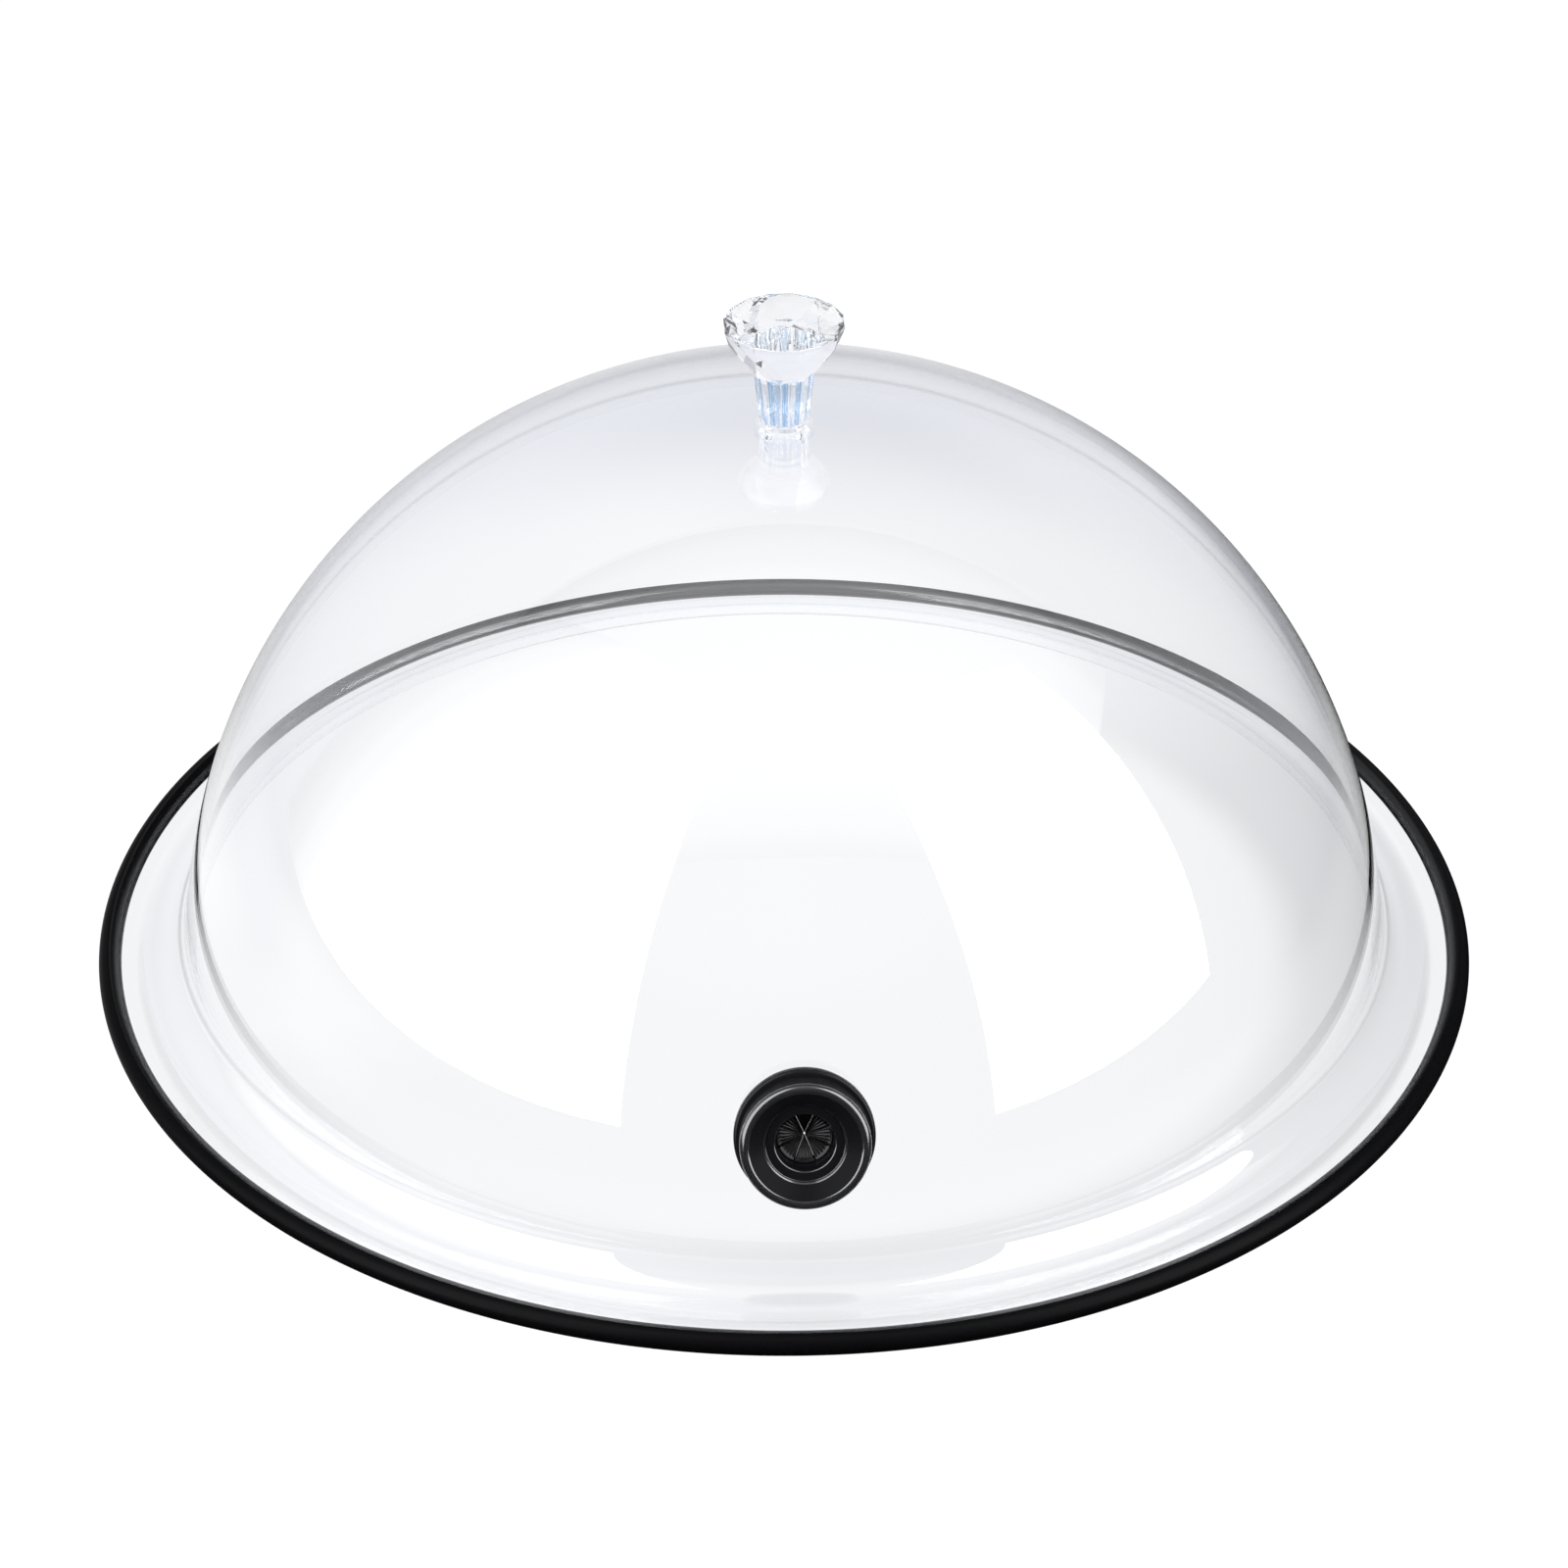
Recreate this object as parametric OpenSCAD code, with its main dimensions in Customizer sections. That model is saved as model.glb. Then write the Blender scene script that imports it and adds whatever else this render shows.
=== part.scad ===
// Clear dome cover with a faceted lifting knob, a rubber edge seal and a self-closing hose port.
// Millimetres, +Z up. z = 0 is the surface that the edge seal rests on, the Z axis is the dome's
// axis and the centre of its sphere is the origin. The hose port faces -Y.

/* [Dome] */
// Outer radius of the spherical wall
dome_r = 131; // [110:1:160]
// Thickness of the wall and the flange
wall = 2.2; // [2:0.1:2.6]
// Radius of the concave curve between wall and flange
foot_r = 7.5; // [6:0.5:8.5]
// How far the whole cover reaches past the spherical wall
rim_w = 19; // [18:0.5:24]

/* [Edge seal] */
// Radius of the round bead
bead_r = 2.55; // [2.4:0.05:2.8]
// Thickness of the dome's lip inside the bead
lip_t = 1.5; // [1.2:0.1:1.7]

/* [Knob] */
// Radius of the faceted head at its girdle
head_r = 12.7; // [11.5:0.1:14]
// Height of the knob above the dome
knob_h = 25.5; // [25:0.1:30]
// Number of kite-shaped facets round the head
facets = 8; // [6:1:12]
// Number of flutes round the stem
flutes = 12; // [8:1:14]

/* [Hose port] */
// Angle of the port's axis above the horizontal
port_tilt = 17; // [14:1:40]
// Radius of the hole that takes the hose
hose_r = 6; // [5.5:0.1:6.2]
// Radius of the flange against the dome
port_flange_r = 14.25; // [13.8:0.05:16]
// Radius of the raised bezel
bezel_r = 13.2; // [12.8:0.1:13.6]
// Slope of the closed petals towards the inside
petal_slope = 18; // [8:1:24]

/* [Hidden] */
$fn = 96;
petal_count = 8;
PETALS = [for (i = [1 : petal_count]) str("petal_", i)];

seat = 0.03;     // gap left between faces that are clamped together
thread_gap = 0.05;  // radial gap of a screwed pair, whose threads are left plain
over = 1;        // how far a cutter runs past what it cuts

// Dome section. The foot curve touches the sphere and the flange without a kink.
flange_z = 1.7;  // underside of the flange
foot_z = flange_z + wall + foot_r;
foot_x = sqrt(pow(dome_r + foot_r, 2) - pow(foot_z, 2));
foot_angle = asin(foot_z / (dome_r + foot_r));
rim_r = dome_r + rim_w;
bead_x = rim_r - bead_r;
bead_z = flange_z + lip_t / 2;
step_x = bead_x - 6;  // where the flange steps down to the lip
step_run = 0.35;      // how far the step slopes
lip_x = bead_x + 0.75;

// Knob, in heights above the top of the dome
washer_t = 0.8;
stem_r0 = 5.3;
stem_r1 = 6.5;
stem_h = 12.5;
flute_r = 1.1;
flute_out = 0.5;  // how far a flute's centre line stands outside the stem
stud_r = 3.95;
stud_hole_r = 4.15;
stud_end = -9.2;
inner_washer_r = 6.2;
inner_washer_z = -wall - 1;
nut_end = -9.6;
neck_z = stem_h - 0.3;
neck_r = 7.05;
belly_r = 0.93 * head_r;
girdle_t = 0.8;
girdle_z = knob_h - 3.2;
crown_r = 0.68 * head_r;
table_r = 0.34 * head_r;
head_turn = 13;
half_facet = 180 / facets;
// The head is cut like a brilliant. Kites run from the table to the girdle between the crown's
// corners, and from the girdle to the neck between the belly's, and each of them is flat: the
// height of the middle ring puts the middle of its sides on the line through the kite's ends.
belly_z = neck_z + (girdle_z - neck_z) * (belly_r * cos(half_facet) - neck_r) / (head_r - neck_r);
girdle_top = girdle_z + girdle_t;
crown_z = knob_h - (knob_h - girdle_top) * (crown_r * cos(half_facet) - table_r) / (head_r - table_r);
// Rings from below: height, radius of the even corners and of the odd ones, and whether the edge
// that splits each quad above the ring starts from an even corner
head_rings = [
    [neck_z, neck_r * cos(half_facet), neck_r, false],
    [belly_z, belly_r, belly_r * cos(half_facet), true],
    [girdle_z, head_r, head_r, true],
    [girdle_top, head_r, head_r, true],
    [crown_z, crown_r * cos(half_facet), crown_r, false],
    [knob_h, table_r, table_r * cos(half_facet), false]
];

// Hose port, in heights above the dome's outer surface along the port's axis
barrel_r = 9.9;
barrel_bore = 7.6;
barrel_end = -7.6;
port_hole_r = 10.3;
gasket_z = 1.2;        // flat top of the outer gasket
flange_top = 3.2;
edge_r = 0.6;          // rounding of the port flange
pocket_r = 9.5;        // pocket that holds the diaphragm
pocket_z = 2;
collar_r = 10.9;       // threaded collar that the bezel screws on
collar_top = 5.8;
inner_gasket_r = 11.5;
inner_gasket_z = -3.6;
nut_t = 3;
nut_notches = 6;
notch_r = 1.5;
notch_out = 0.9;       // how far a notch's centre stands outside the nut
bezel_top = 9.6;
bezel_round = 1.2;
funnel_slope = 36;
ledge_z = 6.4;         // ledge at the foot of the funnel
ledge_r = 8.07;
ledge_edge = 0.33;

// Petals: flat plates hinged at the back edge of their root
hinge_x = 6.4;
hinge_z = 2.05;
petal_t = 0.6;
petal_tip = 0.2;       // radius at which a petal is cut off
petal_gap = 0.1;       // gap between a petal's root and the ring
slit = 0.05;           // gap between neighbouring petals
relief_r = 0.6;        // round hole that ends each slit
half_petal = 180 / petal_count;

function polar(r, a) = [r * cos(a), r * sin(a)];

// The points of a ring with n corners, and the triangles that join ring k to ring k + 1
function ring(h, n) = [for (i = [0 : n - 1]) let (p = polar(h[1 + i % 2], i * 360 / n)) [p.x, p.y, h[0]]];
function strip(k, n, from_even) = [for (i = [0 : n - 1])
    let (j = (i + 1) % n, a = k * n + i, b = k * n + j, c = a + n, d = b + n)
    each ((i % 2 == 0) == from_even ? [[c, d, a], [d, b, a]] : [[c, b, a], [c, d, b]])];

// Moves a part from the origin to the top of the dome, or to the port
module on_top() translate([0, 0, dome_r]) children();
module at_port() rotate([90 - port_tilt, 0, 0]) translate([0, 0, dome_r]) children();

// Height of a sphere of radius r above the dome's top, at x from the axis
function sphere_z(r, x) = sqrt(r * r - x * x) - dome_r;

// Ring between radii r1 and r2, with a flat face at height z and its other face coned to lie on
// the dome's wall: on the outer surface where z is above it, on the inner one where z is below
module bedded_washer(r1, r2, z) {
    r = z > 0 ? dome_r + seat : dome_r - wall - seat;
    rotate_extrude() polygon([[r1, sphere_z(r, r1)], [r2, sphere_z(r, r2)], [r2, z], [r1, z]]);
}

module dome_section() {
    far = 2 * dome_r;
    reach = 3 * foot_r;
    intersection() {
        difference() {
            circle(r = dome_r);
            circle(r = dome_r - wall);
        }
        polygon([[0, 0], polar(far, foot_angle), [far, far], [0, far]]);
    }
    translate([foot_x, foot_z]) intersection() {
        difference() {
            circle(r = foot_r + wall);
            circle(r = foot_r);
        }
        polygon([[0, 0], polar(reach, 180 + foot_angle), [-reach, -reach], [0, -reach]]);
    }
    polygon([[foot_x, flange_z], [lip_x, flange_z], [lip_x, flange_z + lip_t],
        [step_x, flange_z + lip_t], [step_x - step_run, flange_z + wall], [foot_x, flange_z + wall]]);
}

module dome_shell() {
    color([0.9, 0.93, 0.96, 0.35]) difference() {
        rotate_extrude() dome_section();
        translate([0, 0, dome_r - wall - over]) cylinder(r = stud_hole_r, h = wall + 2 * over);
        at_port() translate([0, 0, -wall - over]) cylinder(r = port_hole_r, h = wall + 2 * over);
    }
}

// Round bead with a flat foot and a slot for the dome's lip
module rim_seal() {
    slot_w = lip_x - bead_x + bead_r + over;
    color([0.03, 0.03, 0.035]) rotate_extrude() difference() {
        intersection() {
            translate([bead_x, bead_z]) circle(r = bead_r);
            translate([bead_x - bead_r - over, 0]) square(2 * (bead_r + over));
        }
        translate([lip_x + seat - slot_w, flange_z - seat]) square([slot_w, lip_t + 2 * seat]);
    }
}

module knob_head() {
    n = 2 * facets;
    last = len(head_rings) - 1;
    rotate(head_turn) polyhedron(
        points = [for (h = head_rings) each ring(h, n)],
        faces = concat(
            [[for (i = [0 : n - 1]) i]],
            [for (k = [0 : last - 1]) each strip(k, n, head_rings[k][3])],
            [[for (i = [n - 1 : -1 : 0]) last * n + i]]));
}

module knob_stem() {
    lean = atan((stem_r1 - stem_r0) / (stem_h - washer_t));
    difference() {
        translate([0, 0, washer_t]) cylinder(r1 = stem_r0, r2 = stem_r1, h = stem_h - washer_t);
        for (i = [0 : flutes - 1])
            rotate(i * 360 / flutes) translate([stem_r0 + flute_out, 0, washer_t]) rotate([0, lean, 0])
                translate([0, 0, -over]) cylinder(r = flute_r, h = stem_h + 2 * over);
    }
}

module knob() {
    color([0.92, 0.95, 1, 0.4]) on_top() {
        knob_head();
        knob_stem();
        translate([0, 0, stud_end]) cylinder(r = stud_r, h = stem_h - stud_end);
    }
}

module knob_foot_washer() {
    color([0.9, 0.92, 0.94, 0.5]) on_top() bedded_washer(stud_r + thread_gap, stem_r0, washer_t - seat);
}

module knob_inner_washer() {
    color([0.9, 0.92, 0.94, 0.5]) on_top()
        bedded_washer(stud_r + thread_gap, inner_washer_r, inner_washer_z);
}

// Hexagon on a thin round flange
module knob_nut() {
    top = inner_washer_z - seat;
    color([0.92, 0.95, 1, 0.4]) on_top() difference() {
        union() {
            translate([0, 0, top - 1]) cylinder(r = inner_washer_r, h = 1);
            translate([0, 0, nut_end]) cylinder(r = 5.8, h = top - nut_end - 0.5, $fn = 6);
        }
        translate([0, 0, nut_end - over]) cylinder(r = stud_r + thread_gap, h = top - nut_end + 2 * over);
    }
}

module port_outer_gasket() {
    color([0.05, 0.05, 0.055]) at_port() bedded_washer(port_hole_r, port_flange_r - edge_r, gasket_z);
}

module port_inner_gasket() {
    color([0.05, 0.05, 0.055]) at_port()
        bedded_washer(barrel_r + thread_gap, inner_gasket_r, inner_gasket_z);
}

// Flange, threaded barrel through the dome and threaded collar for the bezel, in one moulding
module port_body() {
    low = gasket_z + seat;
    color([0.02, 0.02, 0.022]) at_port() rotate_extrude() {
        translate([barrel_bore, barrel_end]) square([barrel_r - barrel_bore, pocket_z - barrel_end]);
        translate([barrel_bore, low]) square([collar_r - barrel_bore, pocket_z - low]);
        translate([pocket_r, low]) square([collar_r - pocket_r, collar_top - low]);
        translate([pocket_r, low]) square([port_flange_r - pocket_r, flange_top - edge_r - low]);
        translate([pocket_r, low]) square([port_flange_r - edge_r - pocket_r, flange_top - low]);
        translate([port_flange_r - edge_r, flange_top - edge_r]) circle(r = edge_r);
    }
}

module port_lock_nut() {
    top = inner_gasket_z - seat;
    color([0.02, 0.02, 0.022]) at_port() difference() {
        rotate_extrude() translate([barrel_r + thread_gap, top - nut_t])
            square([inner_gasket_r - barrel_r - thread_gap, nut_t]);
        for (i = [0 : nut_notches - 1])
            rotate(i * 360 / nut_notches) translate([inner_gasket_r + notch_out, 0, top - nut_t - over])
                cylinder(r = notch_r, h = nut_t + 2 * over);
    }
}

// Soft ring with the petals' eight-sided opening and the round holes that end the slits
module diaphragm_ring() {
    opening = (hinge_x + petal_gap) / cos(half_petal);
    low = pocket_z + seat;
    color([0.06, 0.06, 0.065]) at_port() difference() {
        translate([0, 0, low]) cylinder(r = pocket_r - thread_gap, h = flange_top - low);
        translate([0, 0, pocket_z - over]) rotate(half_petal)
            cylinder(r = opening, h = flange_top - pocket_z + 2 * over, $fn = petal_count);
        slit_ends();
    }
}

module slit_ends() {
    for (i = [0 : petal_count - 1])
        rotate((i + 0.5) * 2 * half_petal) translate([hinge_x / cos(half_petal), 0, -over])
            cylinder(r = relief_r, h = flange_top + 2 * over);
}

// One petal of the diaphragm, turned to its place, with its root outwards
module petal(i) {
    color([0.06, 0.06, 0.065]) at_port() rotate(2 * i * half_petal) petal_plate();
}

// Sloping plate from its root at +X to its tip near the axis, with the ends of its slits rounded
module petal_plate() {
    drop = (hinge_x - petal_tip) * tan(petal_slope);
    thick = petal_t / cos(petal_slope);
    half_w = function (x) x * tan(half_petal) - slit / 2 / cos(half_petal);
    difference() {
        intersection() {
            translate([0, 0, hinge_z - drop - over]) linear_extrude(drop + thick + 2 * over)
                polygon([[petal_tip, -half_w(petal_tip)], [hinge_x, -half_w(hinge_x)],
                    [hinge_x, half_w(hinge_x)], [petal_tip, half_w(petal_tip)]]);
            rotate([90, 0, 0]) translate([0, 0, -hinge_x]) linear_extrude(2 * hinge_x)
                polygon([[petal_tip, hinge_z - drop], [hinge_x, hinge_z], [hinge_x, hinge_z + thick],
                    [petal_tip, hinge_z - drop + thick]]);
        }
        slit_ends();
    }
}

// Bezel that clamps the diaphragm: a rounded rim, a funnel, a ledge and the hose hole
module port_bezel() {
    low = flange_top + 2 * seat;
    rim = [bezel_r - bezel_round, bezel_top - bezel_round];
    top = rim + polar(bezel_round, 90 + funnel_slope);
    foot_x = ledge_r + ledge_edge;
    foot = [foot_x, top.y - (top.x - foot_x) * tan(funnel_slope)];
    color([0.02, 0.02, 0.022]) at_port() rotate_extrude() difference() {
        union() {
            polygon([[hose_r, low], [bezel_r, low], [bezel_r, rim.y], rim, top, foot,
                [ledge_r, foot.y - ledge_edge], [ledge_r, ledge_z],
                [hose_r + ledge_edge, ledge_z], [hose_r, ledge_z - ledge_edge]]);
            translate(rim) circle(r = bezel_round);
        }
        translate([pocket_r - thread_gap, low - over])
            square([collar_r - pocket_r + 2 * thread_gap, collar_top + seat - low + over]);
    }
}

dome_shell();
rim_seal();
knob();
knob_foot_washer();
knob_inner_washer();
knob_nut();
port_outer_gasket();
port_body();
diaphragm_ring();
port_bezel();
port_inner_gasket();
port_lock_nut();
for (i = [0 : petal_count - 1]) petal(i);
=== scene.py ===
import math

import bmesh
import bpy
import numpy as np
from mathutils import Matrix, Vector


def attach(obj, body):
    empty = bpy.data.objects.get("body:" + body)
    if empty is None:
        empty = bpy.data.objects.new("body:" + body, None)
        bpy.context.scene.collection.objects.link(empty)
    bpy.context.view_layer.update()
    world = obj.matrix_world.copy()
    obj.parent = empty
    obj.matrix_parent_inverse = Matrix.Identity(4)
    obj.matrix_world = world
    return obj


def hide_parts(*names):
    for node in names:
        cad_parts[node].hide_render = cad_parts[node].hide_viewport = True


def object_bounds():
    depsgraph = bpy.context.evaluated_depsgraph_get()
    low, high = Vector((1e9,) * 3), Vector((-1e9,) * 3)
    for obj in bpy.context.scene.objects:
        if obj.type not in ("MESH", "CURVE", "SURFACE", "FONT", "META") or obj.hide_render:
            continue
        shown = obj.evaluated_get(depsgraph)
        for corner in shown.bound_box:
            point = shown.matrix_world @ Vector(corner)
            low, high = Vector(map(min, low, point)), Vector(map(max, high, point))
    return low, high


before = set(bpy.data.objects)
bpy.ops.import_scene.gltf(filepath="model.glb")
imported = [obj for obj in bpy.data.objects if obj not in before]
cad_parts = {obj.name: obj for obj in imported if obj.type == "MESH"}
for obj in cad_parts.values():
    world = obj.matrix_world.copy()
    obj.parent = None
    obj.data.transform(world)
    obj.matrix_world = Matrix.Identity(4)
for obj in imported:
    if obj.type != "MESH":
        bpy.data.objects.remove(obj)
cad_low, cad_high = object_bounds()


# ---- Dome wall ---------------------------------------------------------------------------------
# One clear polycarbonate moulding: a hemispherical wall 2.2 mm thick that curves out at its foot
# into a flat flange, which steps down to a thinner lip for the edge seal. The knob's stud and the
# port's barrel pass through two drilled holes.

MM = 0.001
RIM_R = cad_high.x                     # outer radius over the edge seal
DOME_R = 131 * MM
WALL = 2.2 * MM
FLANGE_LOW = 1.7 * MM
LIP = 1.5 * MM
FOOT_R = 7.5 * MM
FOOT_Z = FLANGE_LOW + WALL + FOOT_R
FOOT_X = math.sqrt((DOME_R + FOOT_R) ** 2 - FOOT_Z ** 2)
FOOT_ANGLE = math.asin(FOOT_Z / (DOME_R + FOOT_R))
LIP_ROUND = 0.15 * MM
BEAD_R = 2.55 * MM
BEAD_X = RIM_R - BEAD_R
BEAD_Z = FLANGE_LOW + LIP / 2
STUD_HOLE_R = 4.15 * MM
PORT_HOLE_R = 10.3 * MM
PORT_TILT = math.radians(17)
TURN = 288                             # columns round the dome


def arc(centre, r, a0, a1, n):
    """Points (x, z) on a circle: centre + r (cos a, sin a), with a from a0 to a1 in degrees."""
    a = np.radians(np.linspace(a0, a1, n))
    return np.column_stack([centre[0] + r * np.cos(a), centre[1] + r * np.sin(a)])


def line(p, q, n=2):
    """n points spread evenly from p to q."""
    return np.linspace(p, q, n)


def rounded(corners, radii, n=6):
    """An open outline through corners, each inner one replaced by an arc of its radius that is
    tangent to both of its sides: the arc starts r tan(turn / 2) before the corner."""
    points = [np.array(corners[0], float)]
    for before, corner, after, r in zip(corners[:-2], corners[1:-1], corners[2:], radii):
        c = np.array(corner, float)
        u, v = np.array(before) - c, np.array(after) - c
        u, v = u / np.hypot(*u), v / np.hypot(*v)
        half = math.acos(np.clip(u @ v, -1, 1)) / 2
        if r == 0 or half > math.radians(89.5):
            points.append(c)
            continue
        mid = (u + v) / np.hypot(*(u + v))
        centre = c + mid * r / math.sin(half)
        start, end = c + u * r / math.tan(half) - centre, c + v * r / math.tan(half) - centre
        a0, a1 = math.atan2(start[1], start[0]), math.atan2(end[1], end[0])
        a1 = a0 + (a1 - a0 + math.pi) % (2 * math.pi) - math.pi
        a = np.linspace(a0, a1, n)
        points.extend(centre + r * np.column_stack([np.cos(a), np.sin(a)]))
    points.append(np.array(corners[-1], float))
    return np.array(points)


def turned(profile, columns=TURN, start=0.0, sweep=2 * math.pi):
    """A sheet of a profile (x, z) turned about Z: (x cos t, x sin t, z) for each angle t."""
    t = start + sweep * np.linspace(0, 1, columns + 1)
    x, z = profile[:, 0][:, None], profile[:, 1][:, None]
    return np.stack([x * np.cos(t), x * np.sin(t), z + 0 * t], axis=-1)


def solid(name, sheets, crease=30.0):
    """An object of sheets, each an array of rows and columns of points whose neighbours make
    quads. Points that coincide are welded and all faces turned outwards."""
    verts, faces, base = [], [], 0
    for s in sheets:
        rows, cols = s.shape[:2]
        k = base + np.arange(rows * cols).reshape(rows, cols)
        quad = np.stack([k[:-1, :-1], k[1:, :-1], k[1:, 1:], k[:-1, 1:]], axis=-1)
        verts.append(s.reshape(-1, 3))
        faces.append(quad.reshape(-1, 4))
        base += rows * cols
    mesh = bpy.data.meshes.new(name)
    mesh.from_pydata(np.vstack(verts).tolist(), [], np.vstack(faces).tolist())
    bm = bmesh.new()
    bm.from_mesh(mesh)
    bmesh.ops.remove_doubles(bm, verts=bm.verts, dist=2e-7)
    bmesh.ops.dissolve_degenerate(bm, edges=bm.edges, dist=1e-8)
    bmesh.ops.recalc_face_normals(bm, faces=bm.faces)
    bm.to_mesh(mesh)
    bm.free()
    mesh.shade_smooth()
    mesh.set_sharp_from_angle(angle=math.radians(crease))
    obj = bpy.data.objects.new(name, mesh)
    bpy.context.scene.collection.objects.link(obj)
    return obj


def port_place(p):
    """Points of the port's own axes, +Z outwards along its bore, set on the dome: lifted by the
    dome's radius and tipped about X until +Z lies the port's tilt above -Y."""
    a = math.pi / 2 - PORT_TILT
    y, z = p[..., 1], p[..., 2] + DOME_R
    return np.stack([p[..., 0], y * math.cos(a) - z * math.sin(a),
                     y * math.sin(a) + z * math.cos(a)], axis=-1)


def on_sphere(r, lat, lon):
    """r (cos lat sin lon, -cos lat cos lon, sin lat): longitude 0 faces the port."""
    return r * np.stack([np.cos(lat) * np.sin(lon), -np.cos(lat) * np.cos(lon),
                         np.sin(lat) + 0 * lon], axis=-1)


def sphere_sheets(r):
    """The sphere from its foot to the stud's hole in four bands that leave a square window round
    the port, and a sheet that runs from the window's edge to the port's round hole. Its points go
    straight from one to the other and are then pushed out to the sphere."""
    step = 2 * math.pi / TURN
    reach = 7
    window = reach * step
    low, high = PORT_TILT - window, PORT_TILT + window
    top = math.acos(STUD_HOLE_R / r)
    lon = step * np.arange(TURN + 1)
    bands = [(FOOT_ANGLE, low, 4, lon),
             (low, high, 2 * reach + 1, window + lon[:TURN - 2 * reach + 1]),
             (high, top, 50, lon)]
    sheets = [on_sphere(r, np.linspace(a, b, n)[:, None], l[None, :]) for a, b, n, l in bands]
    side = np.linspace(-window, window, 2 * reach + 1)
    u = np.concatenate([side[:-1], 0 * side[:-1] + window, side[:0:-1], 0 * side[:-1] - window])
    v = np.concatenate([0 * side[:-1] - window, side[:-1], 0 * side[:-1] + window, side[:0:-1]])
    u, v = np.append(u, u[0]), np.append(v, v[0])
    edge = on_sphere(r, PORT_TILT + v, u)
    turn = np.arctan2(v, u)
    flat = np.stack([PORT_HOLE_R * np.cos(turn), PORT_HOLE_R * np.sin(turn),
                     0 * turn + math.sqrt(r * r - PORT_HOLE_R ** 2) - DOME_R], axis=-1)
    hole = port_place(flat)
    t = np.linspace(0, 1, 9)[:, None, None] ** 1.25
    spokes = hole + (edge - hole) * t
    spokes *= r / np.linalg.norm(spokes, axis=-1, keepdims=True)
    spokes[0], spokes[-1] = hole, edge
    return sheets + [spokes], hole


foot_deg = math.degrees(FOOT_ANGLE)
step_x = BEAD_X - 6 * MM
lip_x = BEAD_X + 0.75 * MM
flange_high = FLANGE_LOW + WALL
lip_high = FLANGE_LOW + LIP
upper_foot = arc((FOOT_X, FOOT_Z), FOOT_R, 180 + foot_deg, 270, 22)
ease = np.linspace(0, 1, 13)
step_down = np.column_stack([step_x + (4 * ease - 3) * MM,
                             flange_high - (WALL - LIP) * (3 * ease ** 2 - 2 * ease ** 3)])
rim = np.vstack([
    [(FOOT_X, flange_high)], step_down,
    rounded([(step_x + 3 * MM, lip_high), (lip_x, lip_high), (lip_x, FLANGE_LOW),
             (FOOT_X, FLANGE_LOW)], [LIP_ROUND, LIP_ROUND])])
lower_foot = arc((FOOT_X, FOOT_Z), FOOT_R + WALL, 270, 180 + foot_deg, 22)
outer_sheets, outer_hole = sphere_sheets(DOME_R)
inner_sheets, inner_hole = sphere_sheets(DOME_R - WALL)
stud_hole = line((STUD_HOLE_R, math.sqrt((DOME_R - WALL) ** 2 - STUD_HOLE_R ** 2)),
                 (STUD_HOLE_R, math.sqrt(DOME_R ** 2 - STUD_HOLE_R ** 2)), 3)
dome = solid("dome_wall", outer_sheets + inner_sheets + [
    turned(np.vstack([upper_foot, rim[1:], lower_foot[1:]]), start=-math.pi / 2),
    turned(stud_hole, start=-math.pi / 2),
    np.stack([outer_hole, inner_hole])], crease=28)


def clear(name, tint, ior, roughness, haze, shade):
    """Clear plastic: a refracting body whose haze is the share that scatters as a white surface
    does. Lamps see it as plain tinted film of colour shade, so that what is under it stays lit."""
    m = bpy.data.materials.new(name)
    m.use_nodes = True
    n, links = m.node_tree.nodes, m.node_tree.links
    body = n["Principled BSDF"]
    body.inputs["Base Color"].default_value = (*tint, 1)
    body.inputs["IOR"].default_value = ior
    body.inputs["Roughness"].default_value = roughness
    body.inputs["Transmission Weight"].default_value = 1 - haze
    film = n.new("ShaderNodeBsdfTransparent")
    film.inputs["Color"].default_value = (*shade, 1)
    ray = n.new("ShaderNodeLightPath")
    mix = n.new("ShaderNodeMixShader")
    links.new(ray.outputs["Is Shadow Ray"], mix.inputs["Fac"])
    links.new(body.outputs["BSDF"], mix.inputs[1])
    links.new(film.outputs["BSDF"], mix.inputs[2])
    links.new(mix.outputs["Shader"], n["Material Output"].inputs["Surface"])
    return m


dome_clear = clear("clear polycarbonate", (0.985, 0.99, 1.0), 1.585, 0.0, 0.0, (0.96, 0.965, 0.97))
dome.data.materials.append(dome_clear)
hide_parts("dome_shell")
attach(dome, "cover")


# ---- Edge seal ---------------------------------------------------------------------------------
# Black silicone extrusion, joined into a ring and pushed over the lip. Its bead is round outside,
# flat under the rim, and open on the inside along a slot whose two lips grip the clear lip.

SEAT = 0.03 * MM


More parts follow.
